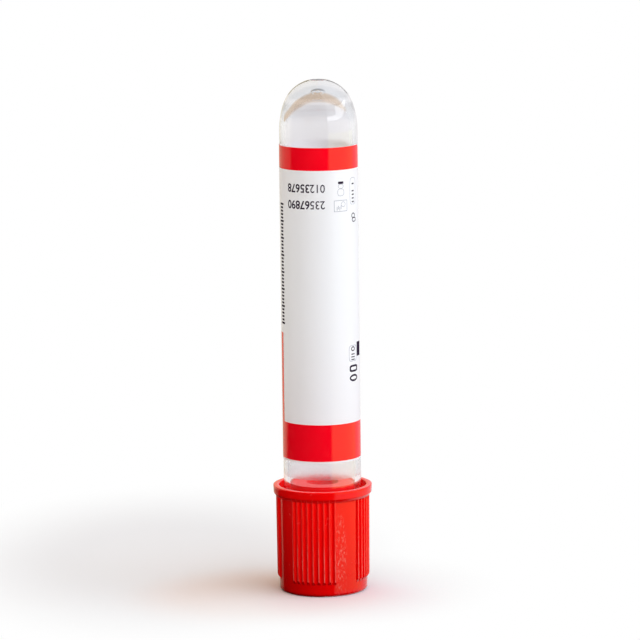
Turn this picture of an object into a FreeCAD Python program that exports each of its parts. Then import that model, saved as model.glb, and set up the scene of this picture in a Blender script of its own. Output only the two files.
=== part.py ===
"""Blood collection tube: a round-ended clear plastic tube, a rubber stopper, a ribbed safety cap and
a printed label.

The tube stands upside down on its cap, the way it is put down on a bench.  +Z is up, along the tube's
axis, and the origin is the centre of the cap's end face, on the surface that it stands on.  -Y is the
front.  All lengths are in millimetres and all angles in degrees.
"""
import FreeCAD
import Part

import math
import os

# ---- tube: one injection-moulded piece ---------------------------------------------------------------
TUBE_LENGTH = 75.0            # rim of the mouth to the tip of the round end
TUBE_OUTER_DIAMETER = 13.0
TUBE_WALL = 1.0               # at the mouth, where the wall is thinnest
BORE_DRAFT = 0.08             # the bore narrows towards the round end, so that it leaves its core
END_THICKNESS = 2.3           # the round end, on the axis
DOME_INSET = 0.4              # how much smaller than the tube's the radius of the end's ball is
DOME_BLEND_RADIUS = 14.0      # long arc between the straight wall and the ball
RIM_ROUND = 0.25              # both edges of the mouth
GATE_FLAT_DEPTH = 0.2         # the ball is cut flat this far below its own pole
GATE_RIM_WIDTH = 0.15         # flat ring left round the dimple
GATE_DIMPLE_DEPTH = 0.3
GATE_NUB_RADIUS = 0.5         # what is left of the sprue, inside the dimple
GATE_NUB_HEIGHT = 0.28

# ---- stopper: one moulded rubber piece ---------------------------------------------------------------
PLUG_LENGTH = 7.4             # the part inside the tube's mouth
PLUG_CLEARANCE = 0.04         # radial, to the bore
PLUG_LEAD_LENGTH = 0.9        # cone that finds the mouth
PLUG_LEAD_DEPTH = 0.35
PLUG_FOOT_FILLET = 0.18
PLUG_HOLLOW_RADIUS = 2.7      # hollow in the inner end, which leaves a thin centre for the needle
PLUG_HOLLOW_DEPTH = 3.6
PLUG_HOLLOW_TAPER = 0.25
HEAD_THICKNESS = 4.8
HEAD_OVERHANG = 0.15          # how far the head stands out past the tube's wall
HEAD_EDGE_ROUND = 0.4
TARGET_RADIUS = 2.3           # dished target for the needle, in the head
TARGET_DEPTH = 1.6

# ---- cap: one injection-moulded piece ----------------------------------------------------------------
CAP_HEIGHT = 18.0
NEEDLE_HOLE_DIAMETER = 8.0
NEEDLE_HOLE_ROUND = 0.3
STOPPER_RECESS = 6.2          # depth of the well from the cap's end face to the stopper
END_WALL = 1.4
COLLAR_WALL = 1.2             # collar round the well, which the stopper's head sits on
COLLAR_ROUND = 0.25
CAP_WALL = 0.68               # between the head's pocket and the smooth outside at the foot
CAP_DRAFT = 0.39              # outside, opening towards the mouth
POCKET_CLEARANCE = 0.05       # radial, to the stopper's head
BEAD_CLEARANCE = 0.08         # radial, from the bead that holds the head in to the tube
BEAD_LAND = 0.35
BEAD_FLANK = 0.3              # height of each slope of the bead
BEAD_GAP = 0.05               # from the head to the bead's first slope
SKIRT_CLEARANCE = 0.24        # radial, from the skirt's bore to the tube
MOUTH_FLARE_LENGTH = 2.0
MOUTH_FLARE = 0.58            # how much wider, in radius, the flare is at the lip
LIP_ROUND = 0.14
FOOT_ROUND = 0.6              # outer edge of the end face
FLANGE_HEIGHT = 1.3           # from the mouth to the lower edge of the flange's outer face
FLANGE_OVERHANG = 0.79        # past the smooth outside
FLANGE_TAPER = 0.055          # how much narrower, in radius, that lower edge is
FLANGE_SLOPE_DEPTH = 0.4      # slope under the flange, how far in it goes
FLANGE_SLOPE_HEIGHT = 0.57

# ---- grip ribs on the cap ----------------------------------------------------------------------------
RIB_GROUPS = 4
RIBS_PER_GROUP = 9
RIB_PITCHES_PER_TURN = 52     # the ribs of a group are neighbours; the rest of the turn is smooth
RIB_HEIGHT = 0.36             # above the smooth outside, at the foot end
RIB_FOOT_WIDTH = 0.6          # where the rib meets the wall
RIB_CREST_WIDTH = 0.36
RIB_CREST_RISE = 0.09         # bulge of the rounded crest
RIB_START = 2.1               # height of the ribs' lower ends above the end face
RIB_END_SLOPE = 58.0          # steepness of the ribs' lower ends
RIB_GROUP_TURN = -102.9       # direction of the first group's middle, from +X

# ---- label: one sheet of printed film, stuck round the tube ------------------------------------------
LABEL_THICKNESS = 0.08
LABEL_TO_CAP = 4.6            # clear wall between the cap's lip and the label
LABEL_TO_TIP = 10.6
LABEL_WRAP = 324.0            # the rest of the turn is a clear window
LABEL_WINDOW_DIRECTION = 7.5  # middle of the window, from +X
LABEL_CORNER_RADIUS = 0.8

# ---- what follows from them --------------------------------------------------------------------------
tube_radius = TUBE_OUTER_DIAMETER / 2
dome_radius = tube_radius - DOME_INSET
bore_radius = tube_radius - TUBE_WALL
bore_slope = math.tan(math.radians(BORE_DRAFT))
mouth_z = STOPPER_RECESS + HEAD_THICKNESS
tip_z = mouth_z + TUBE_LENGTH
plug_end_z = mouth_z + PLUG_LENGTH
plug_radius = bore_radius - bore_slope * PLUG_LENGTH - PLUG_CLEARANCE
head_radius = tube_radius + HEAD_OVERHANG
pocket_radius = head_radius + POCKET_CLEARANCE
foot_radius = pocket_radius + CAP_WALL
flange_low = CAP_HEIGHT - FLANGE_HEIGHT
cap_slope = math.tan(math.radians(CAP_DRAFT))


def point(radius, z):
    """A point of a turned profile, in the plane of X and Z."""
    return FreeCAD.Vector(radius, 0, z)


def lines(*points):
    """Straight edges from each point to the next."""
    return [Part.makeLine(a, b) for a, b in zip(points, points[1:])]


def arc(centre, radius, start, end):
    """An edge round a centre in the plane of X and Z, from one angle to another, in degrees from +X."""
    def at(angle):
        turn = math.radians(angle)
        return centre + FreeCAD.Vector(radius * math.cos(turn), 0, radius * math.sin(turn))

    return Part.Arc(at(start), at((start + end) / 2), at(end)).toShape()


def turned(edges, angle=360.0):
    """The solid that a closed profile sweeps round the Z axis."""
    face = Part.Face(Part.Wire(Part.__sortEdges__(edges)))
    solid = face.revolve(FreeCAD.Vector(0, 0, 0), FreeCAD.Vector(0, 0, 1), angle)
    if solid.Volume < 0:
        solid.reverse()
    return solid


def turned_about_z(shape, angle):
    """A copy of a shape, turned about the Z axis."""
    copy = shape.copy()
    copy.rotate(FreeCAD.Vector(0, 0, 0), FreeCAD.Vector(0, 0, 1), angle)
    return copy


def outside_radius(z):
    """Radius of the cap's smooth outside at a height."""
    return foot_radius + cap_slope * z


def tube():
    """Straight wall, long blending arc, ball and gate flat outside; drafted bore and ball inside."""
    ball_z = tip_z + GATE_FLAT_DEPTH - dome_radius
    flat_radius = math.sqrt(dome_radius**2 - (tip_z - ball_z) ** 2)
    blend = FreeCAD.Vector(tube_radius - DOME_BLEND_RADIUS, 0, 0)
    blend.z = ball_z - math.sqrt((DOME_BLEND_RADIUS - dome_radius) ** 2 - blend.x**2)
    join_angle = math.degrees(math.atan2(ball_z - blend.z, -blend.x))
    flat_angle = math.degrees(math.acos(flat_radius / dome_radius))
    dimple_radius = flat_radius - GATE_RIM_WIDTH
    dimple_z = tip_z - GATE_DIMPLE_DEPTH
    nub_z = dimple_z + GATE_NUB_HEIGHT

    inner_tip_z = tip_z - END_THICKNESS
    draft = math.radians(BORE_DRAFT)
    inner_radius = (bore_radius - bore_slope * (inner_tip_z - mouth_z)) / (
        math.cos(draft) - bore_slope * (1 - math.sin(draft)))
    inner_ball = point(0, inner_tip_z - inner_radius)
    inner_join = inner_ball + FreeCAD.Vector(
        inner_radius * math.cos(draft), 0, inner_radius * math.sin(draft))
    rim_z = mouth_z + RIM_ROUND
    rim_bore = bore_radius - bore_slope * RIM_ROUND

    return turned([
        *lines(point(rim_bore + RIM_ROUND, mouth_z), point(tube_radius - RIM_ROUND, mouth_z)),
        arc(point(tube_radius - RIM_ROUND, rim_z), RIM_ROUND, -90, 0),
        *lines(point(tube_radius, rim_z), point(tube_radius, blend.z)),
        arc(blend, DOME_BLEND_RADIUS, 0, join_angle),
        arc(point(0, ball_z), dome_radius, join_angle, flat_angle),
        *lines(
            point(flat_radius, tip_z),
            point(dimple_radius, tip_z),
            point(dimple_radius - GATE_DIMPLE_DEPTH, dimple_z),
            point(GATE_NUB_RADIUS, dimple_z),
            point(GATE_NUB_RADIUS, nub_z),
            point(0, nub_z),
            point(0, inner_tip_z)),
        arc(inner_ball, inner_radius, 90, BORE_DRAFT),
        *lines(inner_join, point(rim_bore, rim_z)),
        arc(point(rim_bore + RIM_ROUND, rim_z), RIM_ROUND, 180, 270),
    ])


def stopper():
    """Head with a dished target outside the mouth, plug with a hollow end inside it."""
    hollow_floor = plug_end_z - PLUG_HOLLOW_DEPTH
    hollow_foot = PLUG_HOLLOW_RADIUS - PLUG_HOLLOW_TAPER
    target_floor = STOPPER_RECESS + TARGET_DEPTH
    # a dish's radius, from half its chord and its depth
    dish_radius = (TARGET_RADIUS**2 + TARGET_DEPTH**2) / (2 * TARGET_DEPTH)
    dish_angle = math.degrees(math.asin(TARGET_RADIUS / dish_radius))
    dish_centre = point(0, target_floor - dish_radius)
    edge = HEAD_EDGE_ROUND
    fillet = PLUG_FOOT_FILLET

    return turned([
        arc(dish_centre, dish_radius, 90, 90 - dish_angle),
        *lines(point(TARGET_RADIUS, STOPPER_RECESS), point(head_radius - edge, STOPPER_RECESS)),
        arc(point(head_radius - edge, STOPPER_RECESS + edge), edge, -90, 0),
        *lines(point(head_radius, STOPPER_RECESS + edge), point(head_radius, mouth_z - edge)),
        arc(point(head_radius - edge, mouth_z - edge), edge, 0, 90),
        *lines(point(head_radius - edge, mouth_z), point(plug_radius + fillet, mouth_z)),
        arc(point(plug_radius + fillet, mouth_z + fillet), fillet, 270, 180),
        *lines(
            point(plug_radius, mouth_z + fillet),
            point(plug_radius, plug_end_z - PLUG_LEAD_LENGTH),
            point(plug_radius - PLUG_LEAD_DEPTH, plug_end_z),
            point(PLUG_HOLLOW_RADIUS, plug_end_z),
            point(hollow_foot, hollow_floor),
            point(0, hollow_floor),
            point(0, target_floor)),
    ])


def cap_shell():
    """The cap without its grip ribs: end wall, well and collar, pocket, bead, flared skirt, flange."""
    hole = NEEDLE_HOLE_DIAMETER / 2
    collar = hole + COLLAR_WALL
    flange_radius = outside_radius(CAP_HEIGHT) + FLANGE_OVERHANG
    slope_radius = flange_radius - FLANGE_TAPER - FLANGE_SLOPE_DEPTH
    slope_z = flange_low - FLANGE_SLOPE_HEIGHT
    skirt_bore = tube_radius + SKIRT_CLEARANCE
    lip_bore = skirt_bore + MOUTH_FLARE
    bead_radius = tube_radius + BEAD_CLEARANCE
    bead_z = mouth_z + BEAD_GAP
    lip_z = CAP_HEIGHT - LIP_ROUND
    foot_side_radius = outside_radius(FOOT_ROUND)

    return turned([
        arc(point(hole + NEEDLE_HOLE_ROUND, NEEDLE_HOLE_ROUND), NEEDLE_HOLE_ROUND, 180, 270),
        *lines(point(hole + NEEDLE_HOLE_ROUND, 0), point(foot_side_radius - FOOT_ROUND, 0)),
        arc(point(foot_side_radius - FOOT_ROUND, FOOT_ROUND), FOOT_ROUND, -90, 0),
        *lines(
            point(foot_side_radius, FOOT_ROUND),
            point(outside_radius(slope_z), slope_z),
            point(slope_radius, slope_z),
            point(flange_radius - FLANGE_TAPER, flange_low),
            point(flange_radius, lip_z)),
        arc(point(flange_radius - LIP_ROUND, lip_z), LIP_ROUND, 0, 90),
        *lines(point(flange_radius - LIP_ROUND, CAP_HEIGHT), point(lip_bore + LIP_ROUND, CAP_HEIGHT)),
        arc(point(lip_bore + LIP_ROUND, lip_z), LIP_ROUND, 90, 180),
        *lines(
            point(lip_bore, lip_z),
            point(skirt_bore, lip_z - MOUTH_FLARE_LENGTH),
            point(skirt_bore, bead_z + 2 * BEAD_FLANK + BEAD_LAND),
            point(bead_radius, bead_z + BEAD_FLANK + BEAD_LAND),
            point(bead_radius, bead_z + BEAD_FLANK),
            point(pocket_radius, bead_z),
            point(pocket_radius, END_WALL),
            point(collar, END_WALL),
            point(collar, STOPPER_RECESS - COLLAR_ROUND)),
        arc(point(collar - COLLAR_ROUND, STOPPER_RECESS - COLLAR_ROUND), COLLAR_ROUND, 0, 90),
        *lines(
            point(collar - COLLAR_ROUND, STOPPER_RECESS),
            point(hole, STOPPER_RECESS),
            point(hole, NEEDLE_HOLE_ROUND)),
    ])


def grip_ribs():
    """All grip ribs: an upright bar leant to the wall's draft, its lower end sloped, then set round."""
    wall = outside_radius(RIB_START)
    root = wall - CAP_WALL / 2
    crest = wall + RIB_HEIGHT
    shoulder = crest - RIB_CREST_RISE
    half_foot = RIB_FOOT_WIDTH / 2
    half_crest = RIB_CREST_WIDTH / 2
    spare = RIB_HEIGHT            # bar past both ends of the rib, for the ring to trim
    bar_low = RIB_START - spare

    def across(radius, offset):
        """A point of the first rib's section, which points along +X."""
        return FreeCAD.Vector(radius, offset, bar_low)

    section = Part.Face(Part.Wire([
        *lines(
            across(shoulder, -half_crest),
            across(wall, -half_foot),
            across(root, -half_foot),
            across(root, half_foot),
            across(wall, half_foot),
            across(shoulder, half_crest)),
        Part.Arc(across(shoulder, half_crest), across(crest, 0), across(shoulder, -half_crest)).toShape(),
    ]))
    bar = section.extrude(FreeCAD.Vector(0, 0, flange_low - RIB_START + 2 * spare))
    bar.rotate(point(wall, RIB_START), FreeCAD.Vector(0, 1, 0), CAP_DRAFT)

    # a ring that clears the crests and slopes in to the wall at the ribs' lower ends
    ring_bore = root - CAP_WALL / 4
    clear = crest + RIB_HEIGHT
    steepness = math.tan(math.radians(RIB_END_SLOPE))
    ring = turned(lines(
        point(ring_bore, RIB_START),
        point(wall, RIB_START),
        point(clear, RIB_START + (clear - wall) * steepness),
        point(clear, flange_low),
        point(ring_bore, flange_low),
        point(ring_bore, RIB_START)))
    rib = bar.common(ring).Solids[0]

    pitch = 360.0 / RIB_PITCHES_PER_TURN
    ribs = []
    for group in range(RIB_GROUPS):
        middle = RIB_GROUP_TURN + group * 360.0 / RIB_GROUPS
        for index in range(RIBS_PER_GROUP):
            ribs.append(turned_about_z(rib, middle + (index - (RIBS_PER_GROUP - 1) / 2) * pitch))
    return ribs


def cap():
    """Shell and ribs, in one piece."""
    return cap_shell().multiFuse(grip_ribs()).removeSplitter().Solids[0]


def label():
    """A thin sheet round the tube, with a window left open and its four corners rounded."""
    low = CAP_HEIGHT + LABEL_TO_CAP
    high = tip_z - LABEL_TO_TIP
    outer = tube_radius + LABEL_THICKNESS
    sheet = turned(lines(
        point(tube_radius, low), point(outer, low), point(outer, high), point(tube_radius, high),
        point(tube_radius, low)), LABEL_WRAP)
    corner_turn = math.degrees(LABEL_CORNER_RADIUS / tube_radius)
    cutters = []
    for angle, side in ((0, -1), (LABEL_WRAP, 1)):
        for z, end in ((low, -1), (high, 1)):
            centre_z = z - end * LABEL_CORNER_RADIUS
            reach = 2 * LABEL_CORNER_RADIUS
            block = Part.makeBox(
                2 * tube_radius, reach, reach,
                FreeCAD.Vector(0, 0 if side > 0 else -reach, centre_z if end > 0 else centre_z - reach))
            disc = Part.makeCylinder(
                LABEL_CORNER_RADIUS, 2 * tube_radius, FreeCAD.Vector(0, 0, centre_z),
                FreeCAD.Vector(1, 0, 0))
            cutters.append(turned_about_z(block.cut(disc), angle - side * corner_turn))
    rounded = sheet.cut(cutters)
    return turned_about_z(rounded.Solids[0], LABEL_WINDOW_DIRECTION + (360.0 - LABEL_WRAP) / 2)


def main():
    os.makedirs("parts", exist_ok=True)
    for name, make in (("tube", tube), ("stopper", stopper), ("cap", cap), ("label", label)):
        shape = make()
        print(f"{name:8s} valid {shape.isValid()}  solids {len(shape.Solids)}  "
              f"faces {len(shape.Faces)}  volume {shape.Volume:.2f} mm3")
        shape.exportStep(f"parts/{name}.step")


main()
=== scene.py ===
# Blood collection tube: a clear round-ended tube, its rubber stopper, its ribbed safety cap and its
# printed label, standing cap down.  +Z is up along the tube's axis, the origin is the centre of the
# cap's end face, and -Y is the front.  Lengths are in metres.  An azimuth is a turn round Z from the
# front, positive towards +X.
import math

import bmesh
import bpy
import numpy as np
from bpy.props import FloatProperty, FloatVectorProperty, IntProperty, PointerProperty
from mathutils import Matrix

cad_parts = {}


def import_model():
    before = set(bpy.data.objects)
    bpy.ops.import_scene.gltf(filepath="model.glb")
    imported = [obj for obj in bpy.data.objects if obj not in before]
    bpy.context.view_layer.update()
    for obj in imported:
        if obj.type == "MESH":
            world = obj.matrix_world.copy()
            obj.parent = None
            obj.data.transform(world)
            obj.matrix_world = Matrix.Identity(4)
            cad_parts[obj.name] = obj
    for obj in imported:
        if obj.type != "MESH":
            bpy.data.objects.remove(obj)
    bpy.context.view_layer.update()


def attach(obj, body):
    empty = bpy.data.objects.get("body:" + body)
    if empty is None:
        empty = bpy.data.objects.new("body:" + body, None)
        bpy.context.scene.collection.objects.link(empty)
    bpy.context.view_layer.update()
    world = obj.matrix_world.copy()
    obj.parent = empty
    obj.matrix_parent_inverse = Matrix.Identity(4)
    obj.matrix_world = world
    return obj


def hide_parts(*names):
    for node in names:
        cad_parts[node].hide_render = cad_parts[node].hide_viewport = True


bl_info = {
    "name": "Blood Collection Tube",
    "version": (1, 0, 0),
    "blender": (4, 5, 0),
    "location": "View3D > Sidebar > Collection Tube",
    "description": "Builds a clear blood collection tube with its stopper, ribbed safety cap and label",
    "category": "Add Mesh",
}

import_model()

SAME_POINT = 1e-8         # points of a profile that are closer than this are one
ON_WALL = 0.000001        # a row of the cap's profile this near its drafted wall lies on it
UV_LENGTH = 0.1           # length that one unit of the texture covers along the tube
TUBE_COLUMNS = 224        # steps round the tube
STOPPER_COLUMNS = 128     # steps round the stopper
GLUE = 0.000002           # from the wall to the film
PRINT_GAP = 0.000006      # from the film to the small print
PRINT_STEP = 0.0002       # widest face of the small print, so that it follows the label
RING_STEPS = 80           # steps round a printed ring
DIGIT_HEIGHT = 0.72       # height of a numeral of the built-in font at size 1
CONDENSED = 0.89          # how much narrower the numerals are than the font's
CLEAR = (1.0, 1.0, 1.0)   # the colour that takes nothing away


# ---- sizes and colours -------------------------------------------------------------------------------
def length(name, description, default):
    return FloatProperty(
        name=name, description=description, default=default, min=0.0, precision=5, unit="LENGTH")


def angle(name, description, degrees):
    return FloatProperty(
        name=name, description=description, default=math.radians(degrees), subtype="ANGLE")


def colour(name, description, default):
    return FloatVectorProperty(
        name=name, description=description, default=default, size=3, min=0.0, max=1.0, subtype="COLOR")


class TubeSizes(bpy.types.PropertyGroup):
    """The clear tube, moulded in one piece"""
    total: length("Length", "From the rim of the mouth to the tip of the round end", 0.075)
    outer_diameter: length("Outer diameter", "Over the straight wall", 0.013)
    wall: length("Wall", "Thickness at the mouth, where it is thinnest", 0.001)
    bore_draft: angle("Bore draft", "How much the bore narrows towards the round end", 0.08)
    end_thickness: length("End thickness", "Thickness of the round end on the axis", 0.0023)
    dome_inset: length("Dome inset", "How much smaller than the tube's the end ball's radius is", 0.0004)
    dome_blend_radius: length("Dome blend", "Long arc between the straight wall and the ball", 0.014)
    rim_round: length("Rim round", "Both edges of the mouth", 0.00025)
    gate_flat_depth: length("Gate flat", "How far below its own pole the ball is cut flat", 0.0002)
    gate_rim_width: length("Gate rim", "Flat ring left round the gate's dimple", 0.00015)
    gate_dimple_depth: length("Gate dimple", "Depth of the dimple", 0.0003)
    gate_nub_radius: length("Gate nub radius", "What is left of the sprue, inside the dimple", 0.0005)
    gate_nub_height: length("Gate nub height", "Height of the nub above the dimple's floor", 0.00028)
    clear_colour: colour("Clear plastic", "Tint of the clear wall", (0.985, 0.982, 0.99))
    coat_colour: colour("Coat", "Colour of the dried coat inside the wall", (0.99, 0.97, 0.98))


class StopperSizes(bpy.types.PropertyGroup):
    """The rubber stopper"""
    plug_length: length("Plug length", "The part inside the tube's mouth", 0.0074)
    plug_bite: length("Plug bite", "How far the squeezed rubber wets into the wall's surface", 0.000004)
    plug_lead_length: length("Lead length", "Cone that finds the mouth", 0.0009)
    plug_lead_depth: length("Lead depth", "How far in the cone goes", 0.00035)
    plug_foot_fillet: length("Foot fillet", "Between the plug and the head", 0.00018)
    hollow_radius: length("Hollow radius", "Hollow in the plug's inner end", 0.0027)
    hollow_depth: length("Hollow depth", "Depth of that hollow", 0.0036)
    hollow_taper: length("Hollow taper", "How much narrower its floor is", 0.00025)
    head_thickness: length("Head thickness", "The part outside the tube's mouth", 0.0048)
    head_overhang: length("Head overhang", "How far the head stands out past the tube", 0.00015)
    head_edge_round: length("Head edge", "Round on both edges of the head", 0.0004)
    target_radius: length("Target radius", "Dished target for the needle", 0.0023)
    target_depth: length("Target depth", "Depth of the dish", 0.0016)
    rubber_colour: colour("Rubber", "Colour of the stopper", (0.8, 0.003, 0.005))


class CapSizes(bpy.types.PropertyGroup):
    """The ribbed safety cap"""
    height: length("Height", "From the end face to the mouth", 0.018)
    needle_hole_diameter: length("Needle hole", "Hole in the end face", 0.008)
    needle_hole_round: length("Needle hole round", "Edge of that hole", 0.0003)
    stopper_recess: length("Stopper recess", "From the end face to the stopper", 0.0062)
    end_wall: length("End wall", "Thickness of the end face", 0.0014)
    collar_wall: length("Collar wall", "Collar round the well that the stopper sits on", 0.0012)
    collar_round: length("Collar round", "Upper outer edge of the collar", 0.00025)
    wall: length("Wall", "Between the head's pocket and the outside at the foot", 0.00068)
    draft: angle("Draft", "How much the outside opens towards the mouth", 0.39)
    pocket_clearance: length("Pocket clearance", "Gap round the stopper's head", 0.00005)
    bead_clearance: length("Bead clearance", "From the bead that holds the head to the tube", 0.00008)
    bead_land: length("Bead land", "Straight part of the bead", 0.00035)
    bead_flank: length("Bead flank", "Height of each slope of the bead", 0.0003)
    bead_gap: length("Bead gap", "From the head to the bead's first slope", 0.00005)
    skirt_clearance: length("Skirt clearance", "From the skirt's bore to the tube", 0.00024)
    flare_length: length("Flare length", "Flare of the mouth", 0.002)
    flare: length("Flare", "How much wider, in radius, the flare is at the lip", 0.00058)
    lip_round: length("Lip round", "Both edges of the lip", 0.00014)
    foot_round: length("Foot round", "Outer edge of the end face", 0.0006)
    flange_height: length("Flange height", "From the mouth to the flange's lower edge", 0.0013)
    flange_overhang: length("Flange overhang", "Past the smooth outside", 0.00079)
    flange_taper: length("Flange taper", "How much narrower its lower edge is", 0.000055)
    flange_slope_depth: length("Flange slope depth", "How far in the slope under it goes", 0.0004)
    flange_slope_height: length("Flange slope height", "Height of that slope", 0.00057)
    rib_groups: IntProperty(
        name="Rib groups", description="Groups of grip ribs round the cap", default=4, min=1)
    ribs_per_group: IntProperty(
        name="Ribs per group", description="Neighbouring ribs in a group", default=9, min=1)
    rib_pitches: IntProperty(
        name="Rib pitches", description="Rib spacings in a whole turn", default=52, min=4)
    rib_height: length("Rib height", "Above the smooth outside", 0.00036)
    rib_foot_width: length("Rib foot width", "Where a rib meets the wall", 0.0006)
    rib_crest_width: length("Rib crest width", "Across a rib's rounded crest", 0.00036)
    rib_crest_rise: length("Rib crest rise", "Bulge of the crest", 0.00009)
    rib_start: length("Rib start", "Height of the ribs' lower ends", 0.0021)
    rib_end_slope: angle("Rib end slope", "Steepness of the ribs' lower ends", 58.0)
    rib_turn: angle("Rib turn", "Azimuth of the first group's middle", -12.9)
    plastic_colour: colour("Plastic", "Colour of the cap", (0.93, 0.001, 0.0012))


class LabelSizes(bpy.types.PropertyGroup):
    """The printed label"""
    thickness: length("Thickness", "Of the film", 0.00008)
    to_cap: length("Gap to the cap", "Clear wall between the cap and the label", 0.0046)
    to_tip: length("Gap to the tip", "From the label to the tip of the round end", 0.0106)
    wrap: angle("Wrap", "How far round the tube the film goes", 324.0)
    window: angle("Window", "Azimuth of the middle of the clear window", 97.5)
    corner_radius: length("Corner radius", "Of the film's corners", 0.0008)
    top_band: length("Top band", "Width of the red band by the round end", 0.0038)
    foot_band: length("Foot band", "Width of the red band by the cap", 0.0065)
    bare_top: length("Bare top", "Unprinted film at the end by the round end", 0.00002)
    bare_foot: length("Bare foot", "Unprinted film at the end by the cap", 0.0003)
    panel_height: length("Panel height", "Height of the red panel above the foot band", 0.0150)
    panel_edge: angle("Panel edge", "Azimuth of the panel's edge nearest the front", -70.5)
    panel_wrap: angle("Panel wrap", "How far round the panel goes from that edge", 94.0)
    film_colour: colour("Film", "Colour of the bare film", (0.95, 0.95, 0.96))
    band_colour: colour("Bands", "Colour of the printed bands", (1.0, 0.0005, 0.012))
    ink_colour: colour("Ink", "Colour of the dark small print", (0.03, 0.018, 0.035))
    pale_ink_colour: colour("Pale ink", "Colour of the thin lines", (0.42, 0.42, 0.46))


class StageSizes(bpy.types.PropertyGroup):
    """Floor, light and camera"""
    camera_distance: length("Camera distance", "From the tube's axis to the camera", 0.6593)
    camera_height: length("Camera height", "Above the floor", 0.1513)
    camera_pitch: angle("Camera pitch", "How far down the camera looks", 9.094)
    camera_roll: angle("Camera roll", "Turn of the camera about its own line of sight", -0.69)
    key_azimuth: angle("Key azimuth", "Direction that the key light comes from", 80.0)
    key_elevation: angle("Key elevation", "Height of the key light", 34.0)
    floor_colour: colour("Floor", "Colour of the floor", (0.765, 0.805, 0.88))


# ---- shapes ------------------------------------------------------------------------------------------
def arc(radius, height, size, start, end, steps):
    """Points of a turned profile: centre plus size times cosine and sine of evenly spaced angles, which
    are in degrees from outwards towards up."""
    turn = np.radians(np.linspace(start, end, steps + 1))
    return np.column_stack([radius + size * np.cos(turn), height + size * np.sin(turn)])


def outline(*parts):
    """A turned profile from arcs and corners in turn, without repeated points.  A corner is a radius, a
    height and the number of even steps of the straight run that leads to it, one if none is given."""
    points = np.zeros((0, 2))
    for part in parts:
        if isinstance(part, tuple):
            start = points[-1] if len(points) else part[:2]
            part = np.linspace(start, part[:2], (part[2] if len(part) > 2 else 1) + 1)
        points = np.vstack([points, part])
    apart = np.linalg.norm(np.diff(points, axis=0), axis=1) > SAME_POINT
    return points[np.concatenate([[True], apart])]


def grid_faces(rows, columns, wrap_rows, wrap_columns):
    """Quads of a grid of points, as the flat index of each corner, and each corner's row and column
    counted on past the seam."""
    row, column = np.meshgrid(
        np.arange(rows if wrap_rows else rows - 1),
        np.arange(columns if wrap_columns else columns - 1), indexing="ij")
    row, column = row.ravel(), column.ravel()
    corner_rows = np.stack([row, row, row + 1, row + 1], axis=1)
    corner_columns = np.stack([column, column + 1, column + 1, column], axis=1)
    corners = (corner_rows % rows) * columns + corner_columns % columns
    return corners, corner_rows, corner_columns


def around(radius, azimuth, height):
    """Points at x = radius sin(azimuth), y = -radius cos(azimuth), z = height."""
    radius, azimuth, height = np.broadcast_arrays(radius, azimuth, height)
    return np.stack([radius * np.sin(azimuth), -radius * np.cos(azimuth), height], axis=-1)


def carried_round(radius, azimuth, height, closed):
    """Points of a profile at each azimuth, its quads, their texture corners and their rows.  A closed
    profile's last row joins its first."""
    quads, corner_rows, corner_columns = grid_faces(len(height), len(azimuth), closed, True)
    turns = np.append(azimuth, azimuth[0] + 2 * math.pi) / (2 * math.pi)
    heights = np.append(height, height[0]) / UV_LENGTH
    quad_uv = np.stack([turns[corner_columns], heights[corner_rows]], axis=2)
    return around(radius, azimuth, height).reshape(-1, 3), quads, quad_uv, corner_rows[:, 0]


def signed_volume(points, triangles):
    """Sum over triangles of a . (b x c) / 6, which is positive where a closed surface faces outwards."""
    a, b, c = (points[triangles[:, k]] for k in range(3))
    return float(np.einsum("ij,ij->i", a, np.cross(b, c)).sum()) / 6


def new_mesh(name, points, faces, finishes, zones=None):
    """A mesh whose faces have the finishes that the zones number, or else the first one."""
    mesh = bpy.data.meshes.new(name)
    mesh.from_pydata(points, [], faces)
    for finish in finishes:
        mesh.materials.append(finish)
    if zones is not None:
        mesh.polygons.foreach_set("material_index", zones)
    return mesh


def linked(name, data):
    """A new object in the scene, with a mesh, a curve, a light or a camera as its data."""
    piece = bpy.data.objects.new(name, data)
    bpy.context.scene.collection.objects.link(piece)
    return piece


def solid_object(name, points, quads, quad_uv, finishes, zones=None, sharp=32.0, fans=None):
    """A closed mesh object facing outwards, smooth but for edges sharper than an angle in degrees.  The
    fans are triangles and their texture corners."""
    triangles, triangle_uv = fans or (np.zeros((0, 3), int), np.zeros((0, 3, 2)))
    halves = np.vstack([quads[:, [0, 1, 2]], quads[:, [0, 2, 3]], triangles])
    if signed_volume(points, halves) < 0:
        quads, quad_uv = quads[:, ::-1], quad_uv[:, ::-1]
        triangles, triangle_uv = triangles[:, ::-1], triangle_uv[:, ::-1]
    mesh = new_mesh(name, points.tolist(), quads.tolist() + triangles.tolist(), finishes, zones)
    uv = mesh.uv_layers.new(name="UVMap")
    uv.data.foreach_set("uv", np.concatenate([quad_uv.ravel(), triangle_uv.ravel()]))
    mesh.set_sharp_from_angle(angle=math.radians(sharp))
    mesh.update()
    return linked(name, mesh)


def end_fans(profile, body, columns, first):
    """Triangles that close both ends of a grid to two points on the axis, the first of which has the
    given index, and their texture corners."""
    here = np.arange(columns)
    there = (here + 1) % columns
    base = first - columns
    triangles = np.vstack([
        np.stack([np.full(columns, first), there, here], axis=1),
        np.stack([np.full(columns, first + 1), base + here, base + there], axis=1)])
    middle, low, high = (here + 0.5) / columns, here / columns, (here + 1) / columns
    texture = []
    for across, tip, ring in (((middle, high, low), profile[0, 1], body[0, 1]),
                              ((middle, low, high), profile[-1, 1], body[-1, 1])):
        heights = np.repeat([[tip, ring, ring]], columns, 0) / UV_LENGTH
        texture.append(np.stack([np.stack(across, 1), heights], axis=2))
    return triangles, np.concatenate(texture)


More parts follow.
